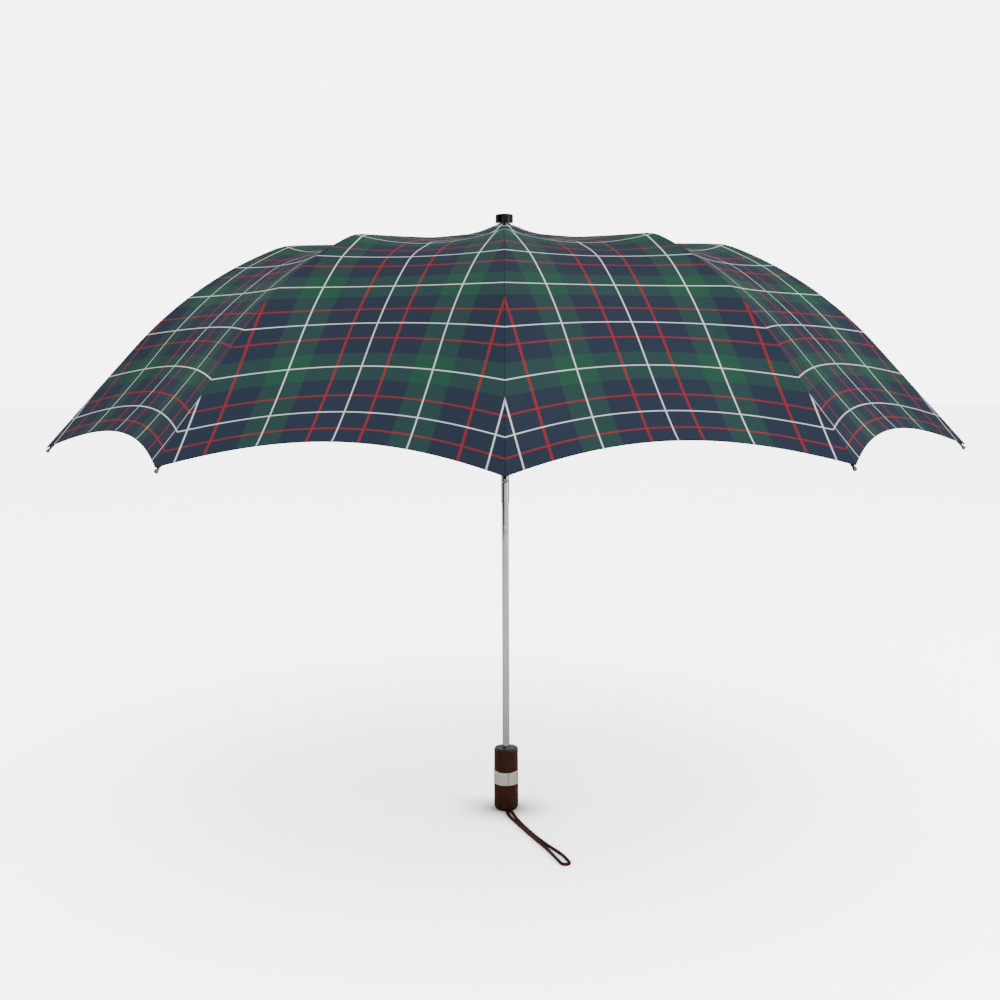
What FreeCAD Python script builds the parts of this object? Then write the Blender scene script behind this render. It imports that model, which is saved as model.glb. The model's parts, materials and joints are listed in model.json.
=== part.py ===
import FreeCAD, Part
import math
import os
from FreeCAD import Vector

# Compact folding umbrella, open. Millimetres, +Z up the shaft.
# The origin is the centre of the handle's bottom face.
# A rib is drawn in the XZ plane (x is the radius r, y the sideways offset t) and turned about Z.

# ---- driving dimensions ----
RIBS = 10
FIRST_RIB_DEG = -90.0
PANEL_DEG = 360.0 / RIBS

LOWER_TUBE_R = 3.7
LOWER_TUBE_WALL = 0.4
UPPER_TUBE_R = 4.3
UPPER_TUBE_WALL = 0.5
LOWER_TUBE_Z = (14.0, 370.0)
UPPER_TUBE_Z = (328.4, 612.9)
CATCH_Z = 302.8
CATCH_R = 1.6

HANDLE_R = 12.8
BAND_R = 13.0
CORE_R = 10.0
FOOT_R = 7.6
HANDLE_EDGE_R = HANDLE_R - FOOT_R
BAND_Z = (28.8, 43.1)
LEATHER_TOP_Z = 65.4
HANDLE_TOP_Z = 67.3
TOP_EDGE_R = 1.4
END_CAP_TOP_Z = 10.1
SEAM_GAP = 0.1
UPPER_GRIP_R = HANDLE_R - 0.1

CAP_R = 9.0
CAP_Z = (613.4, 622.0)
CAP_PLUG = 16.0
WASHER_Z = (610.6, 611.6)
WASHER_R = 7.8

# Rib pivots as (r, z), open
NOTCH_PIVOT = (8.0, 600.0)
ELBOW_PIVOT = (115.0, 587.5)
SHOULDER_PIVOT = (220.9, 583.0)
STRETCHER_EYE = (98.0, 581.6)
RUNNER_PIVOT = (9.0, 524.0)

TOP_RIB_HALF = 0.7
TOP_RIB_HEIGHT = 2.6
CHANNEL_INNER_HALF = 1.0
CHANNEL_OUTER_HALF = 1.6
CHANNEL_TOP = 1.1
CHANNEL_FLOOR = (-2.2, -1.7)
RIVET_R = 0.8
RIVET_HOLE_R = 0.85
RIVET_HEAD_R = 1.4
RIVET_HEAD_HALF = 2.0
STRETCHER_T = (-3.5, -2.4)
STRETCHER_HEIGHT = 2.6
WIRE_R = 0.5
EYE_R = 1.4

# Outer rib: an arc that turns from the first slope to the last, then a straight end
OUTER_ARC_R = 356.0
OUTER_SLOPE_DEG = (20.5, 48.3)
OUTER_STRAIGHT = 123.0
OUTER_RIB_HALF = 0.7
OUTER_RIB_HEIGHT = 2.0
TIP_BALL_R = 1.85

SLEEVE_R = 8.2
BUTTON_FACE_Y = 9.4
BUTTON_DEPTH = 3.0
BUTTON_TRAVEL = 1.2

# Canopy
FABRIC_OFFSET = 3.2
FABRIC_THICK = 0.6
CROWN = [
    (4.7, 612.8), (8.6, 612.8), (16.0, 608.2), (28.0, 603.4),
    (50.0, 599.2), (84.0, 594.6), (116.0, 590.5), (170.0, 587.9),
]
SAG_AT_SHOULDER = 10.7
SAG_OUTER = 8.0
CROWN_SAG_POWER = 2.0
HEM_RISE_RATE = 0.094
PANEL_STEPS = 4
OUTER_STEPS = 8

# Wrist strap, lying on the ground in front of the handle
CORD_D = 3.4
CORD_Z = 1.75
STRAP_DIR = (0.2, -0.9798)
STRAP_SLOT_W = 8.4
STRAP_SLOT_H = 3.9
STRAP_ROUTE = [
    (0.0, -1.8), (12.0, -1.8), (22.0, -3.0), (33.0, -1.8), (46.0, 0.5), (61.0, 3.1), (78.0, 6.1), (96.0, 9.9),
    (113.0, 13.4), (127.0, 15.9), (140.0, 17.8), (150.0, 19.0), (156.8, 19.9), (161.6, 20.8), (163.3, 23.7),
    (162.6, 27.0), (159.7, 28.7), (154.5, 28.2), (147.0, 27.6), (138.0, 26.0), (127.0, 22.7), (115.0, 18.6),
    (96.0, 13.6), (78.0, 9.8), (61.0, 6.8), (46.0, 4.4), (33.0, 3.2), (22.0, 3.1), (12.0, 1.8), (0.0, 1.8),
]


# ---- helpers ----
def ring(r_in, r_out, z0, z1):
    """A plain tube about the shaft's axis."""
    outer = Part.makeCylinder(r_out, z1 - z0, Vector(0, 0, z0))
    inner = Part.makeCylinder(r_in, z1 - z0 + 2, Vector(0, 0, z0 - 1))
    return outer.cut(inner)


def turned(points):
    """A solid of revolution about Z from a closed outline of (r, z) corners."""
    corners = [Vector(r, 0, z) for r, z in points]
    face = Part.Face(Part.makePolygon(corners + [corners[0]]))
    return face.revolve(Vector(0, 0, 0), Vector(0, 0, 1), 360)


def plate(points, t0, t1):
    """A flat plate: an outline of (r, z) corners, thick from t0 to t1."""
    corners = [Vector(r, t0, z) for r, z in points]
    face = Part.Face(Part.makePolygon(corners + [corners[0]]))
    return face.extrude(Vector(0, t1 - t0, 0))


def disc(centre, radius, t0, t1):
    """A cylinder across the rib's plane."""
    return Part.makeCylinder(radius, t1 - t0, Vector(centre[0], t0, centre[1]), Vector(0, 1, 0))


def unit(p, q):
    length = math.dist(p, q)
    return ((q[0] - p[0]) / length, (q[1] - p[1]) / length)


def along(p, q, s, n):
    """The point s along the line from p to q and n to its upper side."""
    d = unit(p, q)
    return (p[0] + d[0] * s - d[1] * n, p[1] + d[1] * s + d[0] * n)


def bar(p, q, s0, s1, n0, n1, t0, t1):
    """A straight bar along the line from p to q."""
    corners = [along(p, q, s, n) for s, n in ((s0, n0), (s1, n0), (s1, n1), (s0, n1))]
    return plate(corners, t0, t1)


def fused(shapes):
    solid = shapes[0].multiFuse(shapes[1:]).removeSplitter()
    return solid.Solids[0] if len(solid.Solids) == 1 else solid


def at_rib(shape, k):
    placed = shape.copy()
    placed.rotate(Vector(0, 0, 0), Vector(0, 0, 1), FIRST_RIB_DEG + PANEL_DEG * k)
    return placed


def slotted(shape, t_centre, width, r_floor, r_end, z0, z1):
    """Cuts one slot per rib into a flange."""
    cutter = Part.makeBox(r_end - r_floor, width, z1 - z0, Vector(r_floor, t_centre - width / 2, z0))
    for k in range(RIBS):
        shape = shape.cut(at_rib(cutter, k))
    return shape


def in_strap_frame(s, w):
    """A ground point s along the strap's direction and w to its side."""
    dx, dy = STRAP_DIR
    return (dx * s - dy * w, dy * s + dx * w)


def strap_box(s0, s1, half, z0, z1):
    corners = [in_strap_frame(s, w) for s, w in ((s0, -half), (s1, -half), (s1, half), (s0, half))]
    points = [Vector(x, y, z0) for x, y in corners]
    return Part.Face(Part.makePolygon(points + [points[0]])).extrude(Vector(0, 0, z1 - z0))


# ---- shaft ----
def make_lower_tube():
    tube = ring(LOWER_TUBE_R - LOWER_TUBE_WALL, LOWER_TUBE_R, *LOWER_TUBE_Z)
    hole = Part.makeCylinder(CATCH_R + 0.15, 6, Vector(0, 0, CATCH_Z), Vector(0, -1, 0))
    return tube.cut(hole)


def make_upper_tube():
    return ring(UPPER_TUBE_R - UPPER_TUBE_WALL, UPPER_TUBE_R, *UPPER_TUBE_Z)


def make_catch():
    """Sprung catch: a round nose in the tube's hole on a leaf inside the tube."""
    nose = Part.makeCylinder(CATCH_R, 1.5, Vector(0, -2.2, CATCH_Z), Vector(0, -1, 0))
    nose = nose.common(Part.makeCylinder(LOWER_TUBE_R - 0.02, 20, Vector(0, 0, CATCH_Z - 10)))
    leaf = Part.makeBox(2.8, 0.4, 34, Vector(-1.4, -2.6, CATCH_Z - 30))
    return fused([nose, leaf])


# ---- handle ----
def make_handle_core():
    floor_z = END_CAP_TOP_Z + SEAM_GAP
    return ring(LOWER_TUBE_R, CORE_R, LOWER_TUBE_Z[0], LEATHER_TOP_Z).fuse(
        Part.makeCylinder(CORE_R, LOWER_TUBE_Z[0] - floor_z, Vector(0, 0, floor_z))).removeSplitter()


def strap_slot():
    return strap_box(-3.2, 14.0, STRAP_SLOT_W / 2, -1.0, STRAP_SLOT_H)


def make_end_cap():
    return Part.makeCylinder(FOOT_R - SEAM_GAP, END_CAP_TOP_Z).cut(strap_slot())


def make_leather_lower():
    z_top = BAND_Z[0] - SEAM_GAP
    mid = math.radians(-45)
    start = Vector(FOOT_R, 0, 0)
    arc_mid = Vector(FOOT_R + HANDLE_EDGE_R * math.cos(mid), 0, HANDLE_EDGE_R + HANDLE_EDGE_R * math.sin(mid))
    arc_end = Vector(HANDLE_R, 0, HANDLE_EDGE_R)
    edge = Part.Arc(start, arc_mid, arc_end).toShape()
    rest = Part.makePolygon([arc_end, Vector(HANDLE_R, 0, z_top), Vector(CORE_R + SEAM_GAP, 0, z_top),
                             Vector(CORE_R + SEAM_GAP, 0, END_CAP_TOP_Z),
                             Vector(FOOT_R, 0, END_CAP_TOP_Z), start])
    face = Part.Face(Part.Wire([edge] + rest.Edges))
    return face.revolve(Vector(0, 0, 0), Vector(0, 0, 1), 360).cut(strap_slot())


def make_leather_upper():
    return ring(CORE_R + SEAM_GAP, UPPER_GRIP_R, BAND_Z[1] + SEAM_GAP, LEATHER_TOP_Z)


def make_band():
    z0, z1 = BAND_Z
    inner = CORE_R + SEAM_GAP
    return turned([(inner, z0), (BAND_R - 0.3, z0), (BAND_R, z0 + 0.4), (BAND_R, z1 - 0.4),
                   (BAND_R - 0.3, z1), (inner, z1)])


def make_top_ring():
    z0 = LEATHER_TOP_Z + SEAM_GAP
    solid = ring(LOWER_TUBE_R, UPPER_GRIP_R, z0, HANDLE_TOP_Z)
    top_edges = [e for e in solid.Edges if abs(e.BoundBox.ZMin - HANDLE_TOP_Z) < 0.01]
    rims = [e for e in top_edges if e.BoundBox.XMax > UPPER_GRIP_R - 1]
    return solid.makeFillet(TOP_EDGE_R, rims)


def make_anchor():
    """The metal block that holds both ends of the strap."""
    return strap_box(-3.0, 0.0, STRAP_SLOT_W / 2 - 0.2, 0.2, STRAP_SLOT_H - 0.2)


def rounded_path(points):
    """Straight runs joined by tangent arcs, each arc as large as its two runs allow."""
    edges = []
    radii = []
    last = points[0]
    for a, b, c in zip(points, points[1:], points[2:]):
        u = (a - b).normalize()
        v = (c - b).normalize()
        turn = math.pi - u.getAngle(v)
        reach = 0.45 * min((a - b).Length, (c - b).Length)
        radii.append(reach / math.tan(turn / 2))
        start = b + u * reach
        end = b + v * reach
        bisector = (u + v).normalize()
        centre_gap = radii[-1] / math.cos(turn / 2)
        mid = b + bisector * (centre_gap - radii[-1])
        edges.append(Part.LineSegment(last, start).toShape())
        edges.append(Part.Arc(start, mid, end).toShape())
        last = end
    edges.append(Part.LineSegment(last, points[-1]).toShape())
    print("strap radii", [round(r, 1) for r in radii])
    return Part.Wire(edges)


def make_strap():
    points = [Vector(*in_strap_frame(s, w), CORD_Z) for s, w in STRAP_ROUTE]
    path = rounded_path(points)
    first = (points[1] - points[0]).normalize()
    section = Part.Wire(Part.Circle(points[0], first, CORD_D / 2).toShape())
    tube = path.makePipeShell([section], True, False)
    ideal = math.pi * (CORD_D / 2) ** 2 * path.Length
    print("strap length", round(path.Length, 1), "volume ratio", round(tube.Volume / ideal, 4))
    return tube


# ---- hubs ----
def make_cap():
    z0, z1 = CAP_Z
    edge = 1.3
    head = turned([(0, z0), (CAP_R - 0.5, z0), (CAP_R, z0 + 0.5), (CAP_R, z1 - edge),
                   (CAP_R - 0.38, z1 - 0.38), (CAP_R - edge, z1), (0, z1)])
    plug_r = UPPER_TUBE_R - UPPER_TUBE_WALL - 0.02
    plug = Part.makeCylinder(plug_r, CAP_PLUG + 0.1, Vector(0, 0, z0 - CAP_PLUG))
    return fused([head, plug])


def make_washer():
    return ring(UPPER_TUBE_R + 0.05, WASHER_R, *WASHER_Z)


def wire_ring(radius, z):
    return Part.makeTorus(radius, WIRE_R, Vector(0, 0, z), Vector(0, 0, 1))


def make_top_notch():
    z = NOTCH_PIVOT[1]
    body = turned([(UPPER_TUBE_R, z - 10), (6.0, z - 10), (6.0, z - 4.5), (10.4, z - 4.5), (10.4, z + 4.0),
                   (9.6, z + 5.6), (6.4, z + 5.6), (6.4, WASHER_Z[0]), (UPPER_TUBE_R, WASHER_Z[0])])
    body = slotted(body, 0.0, 2.0, 6.3, 12.0, z - 6, z + 7)
    groove = Part.makeTorus(NOTCH_PIVOT[0], WIRE_R + 0.02, Vector(0, 0, z), Vector(0, 0, 1))
    return body.cut(groove)


def stretcher_mid_t():
    return (STRETCHER_T[0] + STRETCHER_T[1]) / 2


def runner_wire_r():
    return math.hypot(RUNNER_PIVOT[0], stretcher_mid_t())


def button_box(grow, pocket):
    """The runner's push button, or its pocket: grow is the side clearance, pocket the depth behind it."""
    width = 5.0 + 2 * grow
    height = 9.0 + 2 * grow
    low = Vector(-width / 2, -BUTTON_FACE_Y, RUNNER_PIVOT[1] - 18.5 - grow)
    return Part.makeBox(width, BUTTON_DEPTH + pocket, height, low)


def make_runner():
    z = RUNNER_PIVOT[1]
    bore = UPPER_TUBE_R + 0.1
    body = turned([(bore, z - 34), (9.2, z - 34), (9.2, z - 32), (SLEEVE_R, z - 31), (SLEEVE_R, z - 6),
                   (11.4, z - 4.6), (11.4, z + 3.6), (7.0, z + 3.6), (7.0, z + 7), (bore, z + 7)])
    body = slotted(body, stretcher_mid_t(), 1.9, 7.3, 13.0, z - 8, z + 9)
    groove = Part.makeTorus(runner_wire_r(), WIRE_R + 0.02, Vector(0, 0, z), Vector(0, 0, 1))
    return body.cut(groove).cut(button_box(0.2, BUTTON_TRAVEL + 0.3))


def make_runner_button():
    block = button_box(0.0, 0.0)
    rims = [e for e in block.Edges if abs(e.BoundBox.YMax + BUTTON_FACE_Y) < 0.01]
    return block.makeFillet(0.8, rims)


# ---- ribs ----
def make_top_rib():
    p, q = NOTCH_PIVOT, ELBOW_PIVOT
    h = TOP_RIB_HEIGHT / 2
    t0, t1 = -TOP_RIB_HALF, TOP_RIB_HALF
    length = math.dist(p, q)
    solid = fused([disc(p, EYE_R, t0, t1), bar(p, q, 0, length, -h, h, t0, t1), disc(q, EYE_R, t0, t1)])
    solid = solid.cut(disc(p, WIRE_R + 0.12, t0 - 1, t1 + 1))
    return solid.cut(disc(q, RIVET_HOLE_R, t0 - 1, t1 + 1))


def rivet(centre):
    head = RIVET_HEAD_HALF - 0.4
    return fused([disc(centre, RIVET_R, -head, head), disc(centre, RIVET_HEAD_R, -RIVET_HEAD_HALF, -head),
                  disc(centre, RIVET_HEAD_R, head, RIVET_HEAD_HALF)])


def make_mid_rib():
    """An open channel, its floor on the underside, with two lever plates at the elbow."""
    p, q = ELBOW_PIVOT, SHOULDER_PIVOT
    length = math.dist(p, q)
    inner, outer = CHANNEL_INNER_HALF, CHANNEL_OUTER_HALF
    low, floor_top = CHANNEL_FLOOR
    open_end = 14.0
    pieces = [bar(p, q, 2.0, length - open_end, low, floor_top, -outer, outer)]
    eye = STRETCHER_EYE
    lever = [along(p, q, 4.0, CHANNEL_TOP), along(p, q, -2.2, CHANNEL_TOP), (eye[0] - 1.6, eye[1] + 1.4),
             (eye[0] - 1.2, eye[1] - 1.8), (eye[0] + 1.6, eye[1] - 1.9), along(p, q, 6.0, low)]
    for t0, t1 in ((-outer, -inner), (inner, outer)):
        pieces.append(bar(p, q, 2.0, length + 2.4, low, CHANNEL_TOP, t0, t1))
        pieces.append(plate(lever, t0, t1))
    pieces.append(disc(eye, 1.5, -2.1, RIVET_HEAD_HALF))
    pieces.append(rivet(p))
    pieces.append(rivet(q))
    return fused(pieces)


def outer_centre():
    a = math.radians(OUTER_SLOPE_DEG[0])
    return (SHOULDER_PIVOT[0] - OUTER_ARC_R * math.sin(a), SHOULDER_PIVOT[1] - OUTER_ARC_R * math.cos(a))


def outer_point(slope_deg, offset, beyond=0.0):
    """A point of the outer rib's line, offset to its upper side."""
    a = math.radians(slope_deg)
    c = outer_centre()
    r = OUTER_ARC_R + offset
    return (c[0] + r * math.sin(a) + beyond * math.cos(a), c[1] + r * math.cos(a) - beyond * math.sin(a))


def make_outer_rib():
    h = OUTER_RIB_HEIGHT / 2
    t0, t1 = -OUTER_RIB_HALF, OUTER_RIB_HALF
    a0, a1 = OUTER_SLOPE_DEG
    mid = (a0 + a1) / 2

    def at(point):
        return Vector(point[0], t0, point[1])

    top = Part.Arc(at(outer_point(a0, h)), at(outer_point(mid, h)), at(outer_point(a1, h))).toShape()
    under = Part.Arc(at(outer_point(a1, -h)), at(outer_point(mid, -h)), at(outer_point(a0, -h))).toShape()
    end = Part.makePolygon([at(outer_point(a1, h)), at(outer_point(a1, h, OUTER_STRAIGHT)),
                            at(outer_point(a1, -h, OUTER_STRAIGHT)), at(outer_point(a1, -h))])
    close = Part.LineSegment(at(outer_point(a0, -h)), at(outer_point(a0, h))).toShape()
    face = Part.Face(Part.Wire([top] + end.Edges + [under, close]))
    strip = face.extrude(Vector(0, t1 - t0, 0))
    tip = outer_point(a1, 0, OUTER_STRAIGHT + 1.6)
    neck = outer_point(a1, 0, OUTER_STRAIGHT - 9.0)
    axis = Vector(tip[0] - neck[0], 0, tip[1] - neck[1])
    shank = Part.makeCylinder(1.15, axis.Length, Vector(neck[0], 0, neck[1]), axis)
    ball = Part.makeSphere(TIP_BALL_R, Vector(tip[0], 0, tip[1]))
    solid = fused([disc(SHOULDER_PIVOT, EYE_R, t0, t1), strip, shank, ball])
    return solid.cut(disc(SHOULDER_PIVOT, RIVET_HOLE_R, t0 - 1, t1 + 1))


def make_stretcher():
    p, q = RUNNER_PIVOT, STRETCHER_EYE
    h = STRETCHER_HEIGHT / 2
    t0, t1 = STRETCHER_T
    solid = fused([disc(p, EYE_R, t0, t1), bar(p, q, 0, math.dist(p, q), -h, h, t0, t1), disc(q, 1.8, t0, t1)])
    return solid.cut(disc(p, WIRE_R + 0.25, t0 - 1, t1 + 1))


# ---- canopy ----
def rib_profile():
    """The fabric's outer line over a rib: (r, z, slope, distance from the shoulder)."""
    rows = []
    shoulder = outer_point(OUTER_SLOPE_DEG[0], FABRIC_OFFSET)
    for (r0, z0), (r1, z1) in zip(CROWN, CROWN[1:] + [shoulder]):
        rows.append((r0, z0, math.atan2(z0 - z1, r1 - r0), 0.0))
    a0, a1 = OUTER_SLOPE_DEG
    arc_length = math.radians(a1 - a0) * OUTER_ARC_R
    for i in range(OUTER_STEPS + 1):
        s = (arc_length + OUTER_STRAIGHT) * i / OUTER_STEPS
        slope = min(a0 + math.degrees(s / OUTER_ARC_R), a1)
        beyond = max(0.0, s - arc_length)
        r, z = outer_point(slope, FABRIC_OFFSET, beyond)
        rows.append((r, z, math.radians(slope), s))
    return rows


def sag_at(row, end):
    """How far the middle of a panel hangs below the straight line between its ribs."""
    r, _, _, s = row
    if s == 0.0:
        return SAG_AT_SHOULDER * (max(r - 8.6, 0.0) / SHOULDER_PIVOT[0]) ** CROWN_SAG_POWER
    blend = min(s / 70.0, 1.0)
    outer = SAG_OUTER * math.sin(math.pi * min(s / end, 1.0)) ** 0.7
    return SAG_AT_SHOULDER * (1 - blend) + outer * blend


def shifted(rows, i, amount):
    """Row i moved back along the profile by an amount."""
    r, z, slope, _ = rows[i]
    while i > 0 and amount > math.dist(rows[i][:2], rows[i - 1][:2]):
        amount -= math.dist(rows[i][:2], rows[i - 1][:2])
        i -= 1
        r, z, slope, _ = rows[i]
    if i == 0:
        return r, z, slope
    span = math.dist(rows[i][:2], rows[i - 1][:2])
    f = amount / span
    return (r + (rows[i - 1][0] - r) * f, z + (rows[i - 1][1] - z) * f, slope + (rows[i - 1][2] - slope) * f)


def canopy_point(rows, i, k, f, drop):
    """A point of the canopy: row i, fraction f of the way from rib k to the next."""
    hump = 4 * f * (1 - f)
    rise = rows[i][3] * HEM_RISE_RATE * hump
    r, z, slope = shifted(rows, i, rise)
    lower = drop + sag_at(rows[i], rows[-1][3]) * hump
    r -= lower * math.sin(slope)
    z -= lower * math.cos(slope)
    a = math.radians(FIRST_RIB_DEG + PANEL_DEG * k)
    b = a + math.radians(PANEL_DEG)
    x = r * (math.cos(a) * (1 - f) + math.cos(b) * f)
    y = r * (math.sin(a) * (1 - f) + math.sin(b) * f)
    return Vector(x, y, z)


def make_canopy():
    rows = rib_profile()
    columns = RIBS * PANEL_STEPS

    def grid(drop):
        return [[canopy_point(rows, i, c // PANEL_STEPS, (c % PANEL_STEPS) / PANEL_STEPS, drop)
                 for c in range(columns)] for i in range(len(rows))]

    skins = [grid(0.0), grid(FABRIC_THICK)]
    faces = []

    def quad(a, b, c, d):
        for corners in ((a, b, c), (a, c, d)):
            faces.append(Part.Face(Part.makePolygon(list(corners) + [corners[0]])))

    for c in range(columns):
        n = (c + 1) % columns
        for skin in skins:
            for i in range(len(rows) - 1):
                quad(skin[i][c], skin[i + 1][c], skin[i + 1][n], skin[i][n])
        for i in (0, len(rows) - 1):
            quad(skins[0][i][c], skins[1][i][c], skins[1][i][n], skins[0][i][n])
    shell = Part.makeShell(faces)
    shell.sewShape()
    solid = Part.makeSolid(shell)
    if solid.Volume < 0:
        solid.reverse()
    print("canopy volume", round(solid.Volume), "valid", solid.isValid())
    return solid


# ---- files ----
def save(name, shape):
    solids = shape.Solids
    good = shape.isValid() and len(solids) == 1 and solids[0].Volume > 0
    if not good:
        print("CHECK", name, "valid", shape.isValid(), "solids", len(solids), "volume", shape.Volume)
    shape.exportStep("parts/%s.step" % name)


def main():
    os.makedirs("parts", exist_ok=True)
    save("lower_tube", make_lower_tube())
    save("tube_catch", make_catch())
    save("handle_core", make_handle_core())
    save("handle_end_cap", make_end_cap())
    save("leather_lower", make_leather_lower())
    save("leather_upper", make_leather_upper())
    save("collar_band", make_band())
    save("handle_top_ring", make_top_ring())
    save("strap_anchor", make_anchor())
    save("wrist_strap", make_strap())
    save("upper_tube", make_upper_tube())
    save("cap", make_cap())
    save("cap_washer", make_washer())
    save("top_notch", make_top_notch())
    save("notch_wire", wire_ring(*NOTCH_PIVOT))
    save("runner", make_runner())
    save("runner_wire", wire_ring(runner_wire_r(), RUNNER_PIVOT[1]))
    save("runner_button", make_runner_button())
    save("canopy", make_canopy())
    members = {"top_rib": make_top_rib(), "mid_rib": make_mid_rib(),
               "outer_rib": make_outer_rib(), "stretcher": make_stretcher()}
    for name, shape in members.items():
        for k in range(RIBS):
            save("%s_%d" % (name, k + 1), at_rib(shape, k))


main()
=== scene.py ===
import json
import math
import bpy
import numpy as np
from mathutils import Matrix, Vector


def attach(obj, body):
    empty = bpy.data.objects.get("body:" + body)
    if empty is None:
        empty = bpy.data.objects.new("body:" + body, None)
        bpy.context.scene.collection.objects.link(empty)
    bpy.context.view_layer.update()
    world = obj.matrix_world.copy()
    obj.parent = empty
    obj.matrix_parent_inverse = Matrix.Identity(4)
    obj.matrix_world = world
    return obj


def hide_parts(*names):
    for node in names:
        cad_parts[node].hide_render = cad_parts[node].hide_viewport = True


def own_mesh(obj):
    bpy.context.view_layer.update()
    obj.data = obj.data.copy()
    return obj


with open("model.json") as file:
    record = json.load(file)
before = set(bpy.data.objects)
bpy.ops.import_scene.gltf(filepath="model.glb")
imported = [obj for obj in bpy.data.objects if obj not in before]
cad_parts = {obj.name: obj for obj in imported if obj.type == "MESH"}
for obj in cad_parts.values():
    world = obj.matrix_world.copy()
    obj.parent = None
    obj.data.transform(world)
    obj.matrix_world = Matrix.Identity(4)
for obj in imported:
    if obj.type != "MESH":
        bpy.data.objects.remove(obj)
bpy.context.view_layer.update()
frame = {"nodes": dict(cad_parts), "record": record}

MM = 0.001

# ---- driving values, in millimetres unless a name says otherwise ----
RIBS = 10
PANEL_DEG = 360.0 / RIBS
FIRST_RIB_DEG = -90.0
OUTER_ARC_R = 356.0
OUTER_SLOPE_DEG = (20.5, 48.3)
OUTER_STRAIGHT = 123.0
FABRIC_OFFSET = 3.2
ELBOW_R = 115.0
SHOULDER = (220.9, 583.0)
CROWN = [
    (4.7, 612.8), (8.6, 612.8), (16.0, 608.2), (28.0, 603.4),
    (50.0, 599.2), (84.0, 594.6), (116.0, 590.5), (170.0, 587.9),
]
SAG_AT_SHOULDER = 10.7
SAG_OUTER = 8.0
CROWN_SAG_POWER = 2.0
HEM_RISE_RATE = 0.094
CHECK_ACROSS = 62.0
CHECK_ALONG = 52.4
CLOTH_THICK = 0.4
HEM_WIDTH = 5.0
HEM_THICK = 1.0

# ---- camera ----
FOCAL_PX = 1260.0
SENSOR = 36.0
CAMERA_Y = -1.300
CAMERA_Z = 0.475
PITCH_DEG = -6.32
ROLL_DEG = -0.22
YAW_DEG = 0.24


def add_camera():
    data = bpy.data.cameras.new("camera")
    data.sensor_width = SENSOR
    data.lens = SENSOR * FOCAL_PX / 1000.0
    cam = bpy.data.objects.new("camera", data)
    bpy.context.scene.collection.objects.link(cam)
    turn = (Matrix.Rotation(math.radians(YAW_DEG), 4, "Z")
            @ Matrix.Rotation(math.radians(90.0 + PITCH_DEG), 4, "X")
            @ Matrix.Rotation(math.radians(ROLL_DEG), 4, "Z"))
    cam.matrix_world = Matrix.Translation((0.0, CAMERA_Y, CAMERA_Z)) @ turn
    bpy.context.scene.camera = cam


# ---- light ----
BACKDROP = 6.2
AMBIENT = 0.9
FLOOR_GAIN = 6.6
CONTACT_SIZE = (0.075, 0.055)
CONTACT_DEPTH = 0.88


# ---- node helpers ----
class Nodes:
    """A short way to write a material's nodes."""

    def __init__(self, name):
        self.mat = bpy.data.materials.new(name)
        self.mat.use_nodes = True
        self.tree = self.mat.node_tree
        self.tree.nodes.clear()
        self.out = self.tree.nodes.new("ShaderNodeOutputMaterial")
        self.bsdf = self.tree.nodes.new("ShaderNodeBsdfPrincipled")
        self.tree.links.new(self.bsdf.outputs[0], self.out.inputs[0])

    def link(self, source, target):
        self.tree.links.new(source, target)

    def put(self, target, value):
        if hasattr(value, "is_output"):
            self.link(value, target)
        else:
            target.default_value = value

    def math(self, op, a, b=0.0, c=0.0):
        node = self.tree.nodes.new("ShaderNodeMath")
        node.operation = op
        for socket, value in zip(node.inputs, (a, b, c)):
            self.put(socket, value)
        return node.outputs[0]

    def attribute(self, name):
        node = self.tree.nodes.new("ShaderNodeAttribute")
        node.attribute_name = name
        return node.outputs["Fac"]

    def coords(self):
        return self.tree.nodes.new("ShaderNodeTexCoord").outputs["Object"]

    def scaled(self, vector, scale):
        node = self.tree.nodes.new("ShaderNodeMapping")
        self.link(vector, node.inputs["Vector"])
        node.inputs["Scale"].default_value = scale
        return node.outputs[0]

    def noise(self, vector, scale, detail=3.0):
        node = self.tree.nodes.new("ShaderNodeTexNoise")
        self.link(vector, node.inputs["Vector"])
        node.inputs["Scale"].default_value = scale
        node.inputs["Detail"].default_value = detail
        return node.outputs["Fac"]

    def cells(self, vector, scale):
        node = self.tree.nodes.new("ShaderNodeTexVoronoi")
        node.feature = "DISTANCE_TO_EDGE"
        self.link(vector, node.inputs["Vector"])
        node.inputs["Scale"].default_value = scale
        return node.outputs[0]

    def ramp(self, value, low, high, to_low=0.0, to_high=1.0):
        node = self.tree.nodes.new("ShaderNodeMapRange")
        self.link(value, node.inputs["Value"])
        for key, number in zip(("From Min", "From Max", "To Min", "To Max"), (low, high, to_low, to_high)):
            node.inputs[key].default_value = number
        return node.outputs[0]

    def mix(self, factor, a, b, blend="MIX"):
        node = self.tree.nodes.new("ShaderNodeMix")
        node.data_type = "RGBA"
        node.blend_type = blend
        self.put(node.inputs[0], factor)
        self.put(node.inputs[6], a)
        self.put(node.inputs[7], b)
        return node.outputs[2]

    def bump(self, height, distance, strength=1.0, below=None):
        node = self.tree.nodes.new("ShaderNodeBump")
        node.inputs["Strength"].default_value = strength
        node.inputs["Distance"].default_value = distance
        self.link(height, node.inputs["Height"])
        if below is not None:
            self.link(below, node.inputs["Normal"])
        return node.outputs[0]


def colour(r, g, b):
    """An sRGB colour, 0 to 255, as linear RGBA."""
    def linear(c):
        c /= 255.0
        return c / 12.92 if c <= 0.04045 else ((c + 0.055) / 1.055) ** 2.4
    return (linear(r), linear(g), linear(b), 1.0)


# ---- materials ----
NAVY = colour(45, 55, 73)
TEAL = colour(45, 75, 73)
GREEN = colour(43, 90, 69)
RED = colour(190, 34, 38)
WHITE = colour(252, 254, 255)


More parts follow.
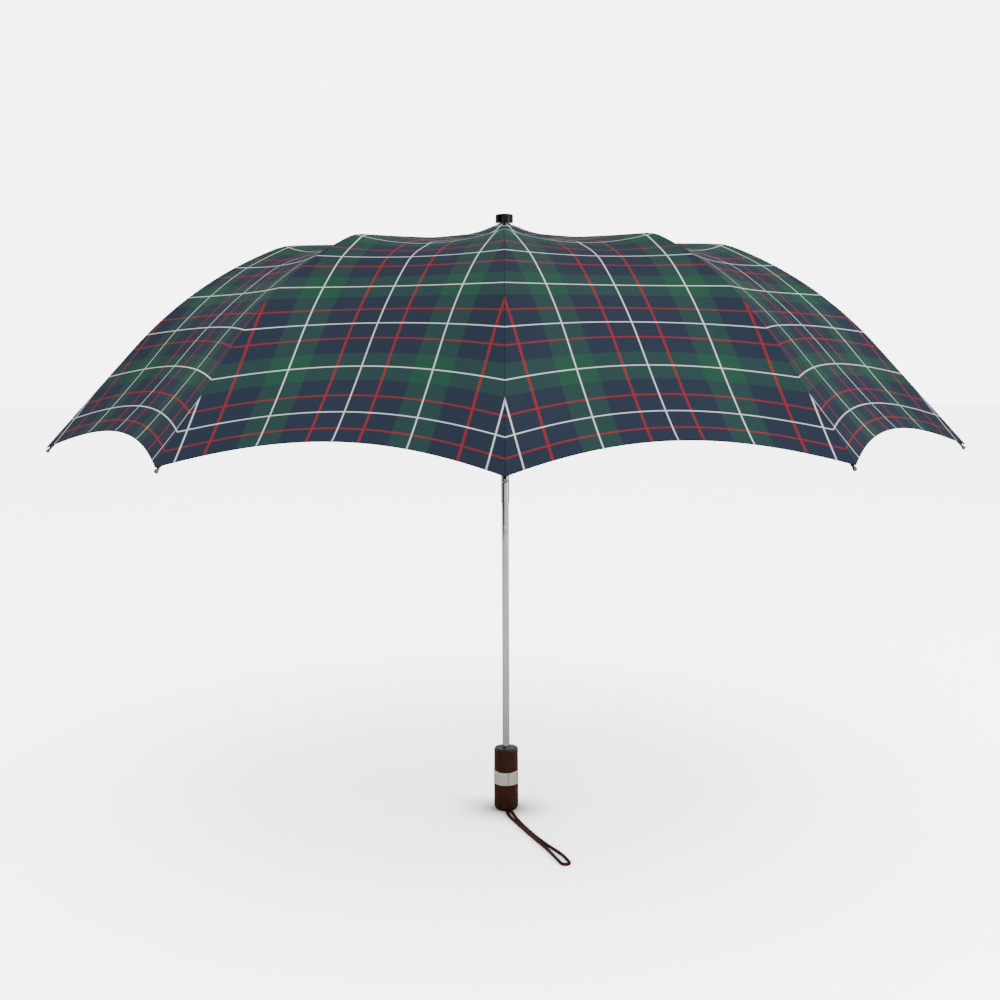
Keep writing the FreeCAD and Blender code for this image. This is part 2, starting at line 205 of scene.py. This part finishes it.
def line_mask(n, distance, half_width, blur):
    """1 on a line, 0 off it."""
    return n.ramp(distance, half_width - blur, half_width + blur, 1.0, 0.0)


def tartan():
    """Two-colour tartan: across is the distance from the panel's centre line and along the distance
    from the shoulder, both in checks. Even checks are green-centred one way and odd the other."""
    n = Nodes("tartan")
    across = n.attribute("across")
    along = n.attribute("along")

    def to_nearest(value, period, start):
        shifted = n.math("ADD", value, period * 20.5 - start)
        return n.math("ABSOLUTE", n.math("SUBTRACT", n.math("MODULO", shifted, period), period / 2.0))

    a_white = n.math("MULTIPLY", to_nearest(across, 1.0, 0.0), CHECK_ACROSS)
    v_white = n.math("MULTIPLY", to_nearest(along, 1.0, 0.0), CHECK_ALONG)
    a_blue = to_nearest(across, 2.0, 0.0)
    v_blue = to_nearest(along, 2.0, 1.0)
    a_green = to_nearest(across, 2.0, 1.0)
    v_green = to_nearest(along, 2.0, 0.0)
    a_red = n.math("MULTIPLY", n.math("ABSOLUTE", n.math("SUBTRACT", a_blue, 0.35)), CHECK_ACROSS)
    v_red = n.math("MULTIPLY", n.math("ABSOLUTE", n.math("SUBTRACT", v_blue, 0.36)), CHECK_ALONG)
    g_a = line_mask(n, a_green, 0.265, 0.004)
    g_v = line_mask(n, v_green, 0.30, 0.005)
    base = n.mix(n.math("MAXIMUM", g_a, g_v), NAVY, TEAL)
    base = n.mix(n.math("MULTIPLY", g_a, g_v), base, GREEN)
    r_a = line_mask(n, a_red, 1.0, 0.25)
    r_v = line_mask(n, v_red, 0.8, 0.25)
    reds = n.math("MULTIPLY", n.math("MAXIMUM", r_a, r_v), 0.66)
    reds = n.math("MAXIMUM", reds, n.math("MULTIPLY", r_a, r_v))
    base = n.mix(reds, base, RED)
    w_a = line_mask(n, a_white, 0.60, 0.2)
    w_v = line_mask(n, v_white, 0.60, 0.2)
    base = n.mix(n.math("MULTIPLY", n.math("MAXIMUM", w_a, w_v), 0.98), base, WHITE)
    seam = n.attribute("seam")
    base = n.mix(n.math("MULTIPLY", line_mask(n, seam, 0.45, 0.25), 0.45), base, colour(16, 20, 26))
    threads = n.scaled(n.coords(), (1400.0, 1400.0, 1400.0))
    weave = n.noise(threads, 1.0, 2.0)
    blotch = n.noise(n.coords(), 9.0, 4.0)
    base = n.mix(n.ramp(weave, 0.3, 0.7, 0.0, 0.35), base, colour(30, 36, 44))
    base = n.mix(n.ramp(blotch, 0.35, 0.65, 0.0, 0.10), base, colour(20, 28, 36))
    n.link(base, n.bsdf.inputs["Base Color"])
    warp = n.math("SINE", n.math("MULTIPLY", across, CHECK_ACROSS * 2 * math.pi / 0.55))
    weft = n.math("SINE", n.math("MULTIPLY", along, CHECK_ALONG * 2 * math.pi / 0.55))
    fine = n.bump(n.math("MULTIPLY", warp, weft), 0.00004, 0.5)
    ripples = n.noise(n.coords(), 28.0, 2.0)
    n.link(n.bump(ripples, 0.0012, 0.35, fine), n.bsdf.inputs["Normal"])
    n.link(n.ramp(blotch, 0.3, 0.7, 0.62, 0.74), n.bsdf.inputs["Roughness"])
    n.bsdf.inputs["Specular IOR Level"].default_value = 0.06
    return n.mat


def metal(name, tint, rough, brushed, anisotropic=0.0):
    """Plated or drawn metal: fine lengthways scratches and a little haze."""
    n = Nodes(name)
    scratches = n.noise(n.scaled(n.coords(), (brushed, brushed, brushed * 0.04)), 1.0, 4.0)
    haze = n.noise(n.coords(), 60.0, 3.0)
    dark = tuple(c * 0.82 for c in tint[:3]) + (1.0,)
    n.link(n.mix(n.ramp(haze, 0.35, 0.7), tint, dark), n.bsdf.inputs["Base Color"])
    n.link(n.ramp(scratches, 0.25, 0.75, rough * 0.7, rough * 1.35), n.bsdf.inputs["Roughness"])
    n.link(n.bump(scratches, 0.00003, 0.25), n.bsdf.inputs["Normal"])
    n.bsdf.inputs["Metallic"].default_value = 1.0
    n.bsdf.inputs["Anisotropic"].default_value = anisotropic
    return n.mat


def plastic():
    n = Nodes("black_plastic")
    grain = n.noise(n.coords(), 2600.0, 2.0)
    wear = n.noise(n.coords(), 90.0, 4.0)
    n.link(n.mix(n.ramp(wear, 0.45, 0.7), colour(11, 10, 9), colour(20, 18, 17)), n.bsdf.inputs["Base Color"])
    n.link(n.ramp(wear, 0.3, 0.7, 0.34, 0.48), n.bsdf.inputs["Roughness"])
    n.link(n.bump(grain, 0.00003, 0.4), n.bsdf.inputs["Normal"])
    return n.mat


def leather(name, tint, deep, cell, rough):
    """Smooth leather: fine pebbled grain, soft colour variation and pores."""
    n = Nodes(name)
    grain = n.cells(n.coords(), cell)
    pores = n.noise(n.coords(), cell * 2.5, 3.0)
    mottling = n.noise(n.coords(), 120.0, 4.0)
    tone = n.mix(n.ramp(mottling, 0.35, 0.65), tint, deep)
    tone = n.mix(n.ramp(grain, 0.0, 0.08, 0.55, 0.0), tone, colour(12, 7, 5))
    n.link(tone, n.bsdf.inputs["Base Color"])
    low = n.bump(n.ramp(grain, 0.0, 0.12), 0.00008, 0.5)
    n.link(n.bump(pores, 0.00003, 0.35, low), n.bsdf.inputs["Normal"])
    n.link(n.ramp(mottling, 0.3, 0.7, rough, rough + 0.14), n.bsdf.inputs["Roughness"])
    n.bsdf.inputs["Specular IOR Level"].default_value = 0.12
    return n.mat


def floor_material():
    """Pale paper: seen directly it is as bright as the backdrop, and it lights the object like plain paper.
    The soft contact shade under the handle is part of the paper, because the even light casts almost none."""
    n = Nodes("floor")
    speckle = n.noise(n.coords(), 3.0, 2.0)
    paper = n.mix(n.ramp(speckle, 0.3, 0.7), colour(243, 243, 243), colour(241, 241, 241))
    from_base = n.scaled(n.coords(), (1.0 / CONTACT_SIZE[0], 1.0 / CONTACT_SIZE[1], 0.0))
    distance = n.tree.nodes.new("ShaderNodeVectorMath")
    distance.operation = "LENGTH"
    n.link(from_base, distance.inputs[0])
    nearness = n.math("SUBTRACT", 1.0, n.ramp(distance.outputs["Value"], 0.1, 1.0))
    shade = n.math("MULTIPLY", n.math("POWER", nearness, 1.6), CONTACT_DEPTH)
    paper = n.mix(n.math("SUBTRACT", 1.0, shade), colour(0, 0, 0), paper)
    seen = n.mix(1.0, paper, (FLOOR_GAIN, FLOOR_GAIN, FLOOR_GAIN, 1.0), "MULTIPLY")
    path = n.tree.nodes.new("ShaderNodeLightPath")
    diffuse = n.tree.nodes.new("ShaderNodeBsdfDiffuse")
    n.link(n.mix(path.outputs["Is Camera Ray"], paper, seen), diffuse.inputs["Color"])
    n.link(diffuse.outputs[0], n.out.inputs[0])
    n.tree.nodes.remove(n.bsdf)
    return n.mat


MATERIALS = {
    "tartan": tartan(),
    "polished_steel": metal("polished_steel", colour(196, 204, 204), 0.10, 900.0),
    "nickel": metal("nickel", colour(250, 246, 230), 0.16, 1200.0),
    "gunmetal": metal("gunmetal", colour(46, 44, 43), 0.06, 1000.0),
    "rib_alloy": metal("rib_alloy", colour(122, 122, 120), 0.24, 1500.0),
    "black_plastic": plastic(),
    "brown_leather": leather("brown_leather", colour(72, 37, 20), colour(54, 26, 13), 2600.0, 0.42),
    "strap_leather": leather("strap_leather", colour(92, 38, 28), colour(66, 26, 20), 3000.0, 0.45),
}


def dress(obj, name):
    obj.data.materials.clear()
    obj.data.materials.append(MATERIALS[name])


def dress_cad_nodes():
    """Every CAD node that shows gets the finish of its record slot."""
    slots = {row["node"]: row["material_slot"] for row in frame["record"]["subparts"]}
    for node, obj in frame["nodes"].items():
        for i in range(max(1, len(obj.material_slots))):
            if not obj.material_slots:
                obj.data.materials.append(MATERIALS[slots[node]])
            obj.material_slots[i].material = MATERIALS[slots[node]]


# ---- wrist strap ----
CORD_D = 3.4
CORD_Z = 1.75
STRAP_DIR = (0.2, -0.9798)
STRAP_ROUTE = [
    (0.0, -1.8), (12.0, -1.8), (22.0, -3.0), (33.0, -1.8), (46.0, 0.5), (61.0, 3.1), (78.0, 6.1), (96.0, 9.9),
    (113.0, 13.4), (127.0, 15.9), (140.0, 17.8), (150.0, 19.0), (156.8, 19.9), (161.6, 20.8), (163.3, 23.7),
    (162.6, 27.0), (159.7, 28.7), (154.5, 28.2), (147.0, 27.6), (138.0, 26.0), (127.0, 22.7), (115.0, 18.6),
    (96.0, 13.6), (78.0, 9.8), (61.0, 6.8), (46.0, 4.4), (33.0, 3.2), (22.0, 3.1), (12.0, 1.8), (0.0, 1.8),
]


def add_strap():
    dx, dy = STRAP_DIR
    points = [((dx * s - dy * w) * MM, (dy * s + dx * w) * MM, CORD_Z * MM) for s, w in STRAP_ROUTE]
    curve = bpy.data.curves.new("wrist_strap_cord", "CURVE")
    curve.dimensions = "3D"
    spline = curve.splines.new("NURBS")
    spline.points.add(len(points) - 1)
    for point, place in zip(spline.points, points):
        point.co = (*place, 1.0)
    spline.order_u = 3
    spline.use_endpoint_u = True
    spline.resolution_u = 12
    curve.bevel_depth = CORD_D * MM / 2
    curve.bevel_resolution = 5
    curve.use_fill_caps = True
    cord = bpy.data.objects.new("wrist_strap_cord", curve)
    bpy.context.scene.collection.objects.link(cord)
    curve.materials.append(MATERIALS["strap_leather"])
    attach(cord, "handle")
    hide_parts("wrist_strap")


# ---- canopy ----
def outer_point(slope, offset, beyond):
    a0 = math.radians(OUTER_SLOPE_DEG[0])
    cr = SHOULDER[0] - OUTER_ARC_R * math.sin(a0)
    cz = SHOULDER[1] - OUTER_ARC_R * math.cos(a0)
    rad = OUTER_ARC_R + offset
    return (cr + rad * math.sin(slope) + beyond * math.cos(slope),
            cz + rad * math.cos(slope) - beyond * math.sin(slope))


def rib_profile():
    """Fine samples of the fabric's line over a rib: s from the shoulder, r and z."""
    a0, a1 = (math.radians(d) for d in OUTER_SLOPE_DEG)
    shoulder = outer_point(a0, FABRIC_OFFSET, 0.0)
    inner = np.array(CROWN + [shoulder])
    lengths = np.concatenate([[0.0], np.cumsum(np.hypot(*np.diff(inner, axis=0).T))])
    s_in = np.arange(0.0, lengths[-1], 1.0)
    inner_rz = np.column_stack([np.interp(s_in, lengths, inner[:, i]) for i in (0, 1)])
    arc = (a1 - a0) * OUTER_ARC_R
    s_out = np.linspace(0.0, arc + OUTER_STRAIGHT, 331)
    outer_rz = np.array([outer_point(min(a0 + d / OUTER_ARC_R, a1), FABRIC_OFFSET, max(0.0, d - arc))
                         for d in s_out])
    s = np.concatenate([s_in - lengths[-1], s_out])
    rz = np.vstack([inner_rz, outer_rz])
    smooth = rz.copy()
    for reach in (1, 2, 3, 4, 5, 4, 3, 2, 1):
        smooth[reach:-reach] = (smooth[:-2 * reach] + smooth[reach:-reach] * 2 + smooth[2 * reach:]) / 4
    return s, smooth[:, 0], smooth[:, 1]


PROFILE_S, PROFILE_R, PROFILE_Z = rib_profile()
HEM_S = PROFILE_S[-1]
HUB_S = PROFILE_S[0]


def profile(s):
    r = np.interp(s, PROFILE_S, PROFILE_R)
    z = np.interp(s, PROFILE_S, PROFILE_Z)
    step = 1.5
    dr = np.interp(s + step, PROFILE_S, PROFILE_R) - np.interp(s - step, PROFILE_S, PROFILE_R)
    dz = np.interp(s + step, PROFILE_S, PROFILE_Z) - np.interp(s - step, PROFILE_S, PROFILE_Z)
    return r, z, np.arctan2(-dz, dr)


def sag(s):
    """How far the middle of a panel hangs below the straight line between its ribs."""
    r, _, _ = profile(s)
    crown = SAG_AT_SHOULDER * (np.maximum(r - 8.6, 0.0) / SHOULDER[0]) ** CROWN_SAG_POWER
    blend = np.clip(s / 70.0, 0.0, 1.0)
    blend = blend * blend * (3 - 2 * blend)
    outer = SAG_OUTER * np.sin(math.pi * np.clip(s / HEM_S, 0.0, 1.0)) ** 0.7
    return np.where(s <= 0.0, crown, SAG_AT_SHOULDER * (1 - blend) + outer * blend)


def cloth_point(s, f, rib, drop):
    """The canopy at s along the rib and fraction f of the way from this rib to the next."""
    hump = 4 * f * (1 - f)
    rise = np.maximum(0.0, s) * HEM_RISE_RATE * hump
    r, z, slope = profile(s - rise)
    lower = drop + sag(s) * hump
    r = r - lower * np.sin(slope)
    z = z - lower * np.cos(slope)
    a = math.radians(FIRST_RIB_DEG + PANEL_DEG * rib)
    b = a + math.radians(PANEL_DEG)
    x = r * (math.cos(a) * (1 - f) + math.cos(b) * f)
    y = r * (math.sin(a) * (1 - f) + math.sin(b) * f)
    return np.stack([x, y, z], axis=-1) * MM


def half_grid(s_rows, steps, rib, side):
    """Grid of s and f over half a panel, from the rib's seam to the panel's centre line, and its panel."""
    t = np.linspace(0.0, 0.5, steps + 1)
    f = t if side > 0 else 1.0 - t
    panel = rib if side > 0 else rib - 1
    return np.meshgrid(s_rows, f, indexing="ij"), panel


def surface(s, f, panel, drop):
    points = cloth_point(s, f, panel, drop)
    ds = cloth_point(s + 0.5, f, panel, drop) - cloth_point(s - 0.5, f, panel, drop)
    df = cloth_point(s, f + 0.002, panel, drop) - cloth_point(s, f - 0.002, panel, drop)
    normal = np.cross(ds, df)
    normal /= np.maximum(np.linalg.norm(normal, axis=-1, keepdims=True), 1e-12)
    return points, np.where(normal[..., 2:3] < 0, -normal, normal)


def add_cloth(name, rib, sides, s_rows, steps, body):
    """One closed piece of the canopy: outer skin, inner skin and rim, with its check and seam distances."""
    columns = []
    for side in sides:
        (s, f), panel = half_grid(s_rows, steps, rib, side)
        hemmed = s > HEM_S - HEM_WIDTH
        thick = np.where(hemmed, HEM_THICK, CLOTH_THICK)
        outer, normal = surface(s, f, panel, 0.0)
        inner = outer - normal * thick[..., None] * MM
        r, _, _ = profile(s)
        half_width = r * math.sin(math.radians(PANEL_DEG / 2))
        t = np.where(f <= 0.5, f, 1.0 - f)
        across = half_width * (1.0 - 2.0 * t) / CHECK_ACROSS
        columns.append((outer, inner, normal, across, s / CHECK_ALONG, 2.0 * t * half_width))
    if len(columns) == 2:
        left, right = columns
        join = [np.concatenate([l[:, :0:-1], r_], axis=1) for l, r_ in zip(left, right)]
    else:
        join = [a[:, ::-1] if sides[0] < 0 else a for a in columns[0]]
    outer, inner, normal, across, along, seam = join
    rows, cols = across.shape
    verts = np.vstack([outer.reshape(-1, 3), inner.reshape(-1, 3)])
    offset = rows * cols
    faces = []
    for i in range(rows - 1):
        for j in range(cols - 1):
            a, b = i * cols + j, i * cols + j + 1
            c, d = b + cols, a + cols
            faces.append((a, d, c, b))
            faces.append((a + offset, b + offset, c + offset, d + offset))
    ring = (list(range(cols)) + [i * cols + cols - 1 for i in range(1, rows)]
            + [(rows - 1) * cols + j for j in range(cols - 2, -1, -1)] + [i * cols for i in range(rows - 2, 0, -1)])
    for p, q in zip(ring, ring[1:] + ring[:1]):
        faces.append((p, q, q + offset, p + offset))
    mesh = bpy.data.meshes.new(name)
    mesh.from_pydata(verts.tolist(), [], faces)
    for key, values in (("across", across), ("along", along), ("seam", seam)):
        layer = mesh.attributes.new(key, "FLOAT", "POINT")
        layer.data.foreach_set("value", np.tile(values.reshape(-1), 2).astype(np.float32))
    mesh.validate()
    mesh.update()
    shade_cloth(mesh, normal, offset)
    obj = bpy.data.objects.new(name, mesh)
    bpy.context.scene.collection.objects.link(obj)
    dress(obj, "tartan")
    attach(obj, body)
    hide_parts("canopy")
    outer_faces = list(mesh.polygons)[:2 * (rows - 1) * (cols - 1):2]
    area = float(sum(face.area for face in outer_faces))
    width = float(np.linalg.norm(np.diff(outer[-1], axis=0), axis=1).sum())
    length = float(np.abs(s_rows[-1] - s_rows[0])) * MM
    width = max(width, area / length)
    side = sides[0] if len(sides) == 1 else 1
    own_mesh(obj)
    return obj


def shade_cloth(mesh, normal, offset):
    """Keeps the shading smooth across the splits between pieces."""
    mesh.polygons.foreach_set("use_smooth", [True] * len(mesh.polygons))
    flat = normal.reshape(-1, 3)
    normals = []
    for loop in mesh.loops:
        v = loop.vertex_index
        n = flat[v] if v < offset else -flat[v - offset]
        normals.append(tuple(n))
    mesh.normals_split_custom_set(normals)


def add_canopy():
    """Each rib carries the fabric half way to its neighbours, split where the rib folds."""
    elbow_s = float(np.interp(ELBOW_R, PROFILE_R, PROFILE_S))
    crown = np.linspace(HUB_S + 0.6, elbow_s, 15)
    middle = np.linspace(elbow_s, 0.0, 13)
    hem_start = HEM_S - HEM_WIDTH
    skirt = np.append(np.linspace(0.0, hem_start - 0.4, 40), [hem_start + 0.4, HEM_S - 2.0, HEM_S])
    for rib in range(RIBS):
        k = rib + 1
        add_cloth("canopy_crown_%d" % k, rib, (-1, 1), crown, 10, "top_rib_%d" % k)
        add_cloth("canopy_middle_%d" % k, rib, (-1, 1), middle, 12, "mid_rib_%d" % k)
        for side, label in ((-1, "a"), (1, "b")):
            add_cloth("canopy_skirt_%d%s" % (k, label), rib, (side,), skirt, 16, "outer_rib_%d" % k)


# ---- stage ----
def add_stage():
    mesh = bpy.data.meshes.new("floor")
    reach = 12.0
    corners = [(-reach, -reach, 0), (reach, -reach, 0), (reach, reach, 0), (-reach, reach, 0)]
    mesh.from_pydata(corners, [], [(0, 1, 2, 3)])
    floor = bpy.data.objects.new("floor", mesh)
    bpy.context.scene.collection.objects.link(floor)
    mesh.materials.append(floor_material())
    add_world()
    add_card("dark_card", (-1.6, -1.0, 0.7), (0, 0, 0.3), (2.2, 2.8), 0.03)


def add_world():
    """A bright backdrop to look at, and a softer even light on the object."""
    world = bpy.data.worlds.new("world")
    world.use_nodes = True
    tree = world.node_tree
    back = tree.nodes["Background"]
    path = tree.nodes.new("ShaderNodeLightPath")
    level = tree.nodes.new("ShaderNodeMapRange")
    tree.links.new(path.outputs["Is Camera Ray"], level.inputs["Value"])
    level.inputs["To Min"].default_value = AMBIENT
    level.inputs["To Max"].default_value = BACKDROP
    tree.links.new(level.outputs[0], back.inputs["Strength"])
    back.inputs["Color"].default_value = (1.0, 1.0, 1.0, 1.0)
    bpy.context.scene.world = world


def aim(obj, place, target):
    obj.location = place
    obj.rotation_euler = (Vector(target) - Vector(place)).to_track_quat("-Z", "Y").to_euler()


def add_card(name, place, target, size, grey):
    """A studio card that only shows in reflections."""
    w, h = size[0] / 2, size[1] / 2
    mesh = bpy.data.meshes.new(name)
    mesh.from_pydata([(-w, -h, 0), (w, -h, 0), (w, h, 0), (-w, h, 0)], [], [(0, 1, 2, 3)])
    card = bpy.data.objects.new(name, mesh)
    bpy.context.scene.collection.objects.link(card)
    n = Nodes(name)
    n.bsdf.inputs["Base Color"].default_value = (grey, grey, grey, 1.0)
    n.bsdf.inputs["Roughness"].default_value = 1.0
    mesh.materials.append(n.mat)
    aim(card, place, target)
    for kind in ("camera", "diffuse", "transmission", "volume_scatter", "shadow"):
        setattr(card, "visible_" + kind, False)


def add_light(name, place, target, size, power):
    data = bpy.data.lights.new(name, "AREA")
    data.shape = "RECTANGLE"
    data.size, data.size_y = size
    data.energy = power
    lamp = bpy.data.objects.new(name, data)
    bpy.context.scene.collection.objects.link(lamp)
    aim(lamp, place, target)
    lamp.visible_camera = False


add_camera()
add_strap()
dress_cad_nodes()
add_canopy()
add_stage()
add_light("top", (0.4, -1.4, 3.2), (0, 0, 0.3), (2.4, 2.4), 26.0)
add_light("side", (1.9, -1.1, 0.9), (0, 0, 0.3), (0.9, 1.8), 14.0)
add_light("strip", (-0.95, -1.75, 1.3), (0, 0, 0.5), (0.35, 1.0), 5.0)
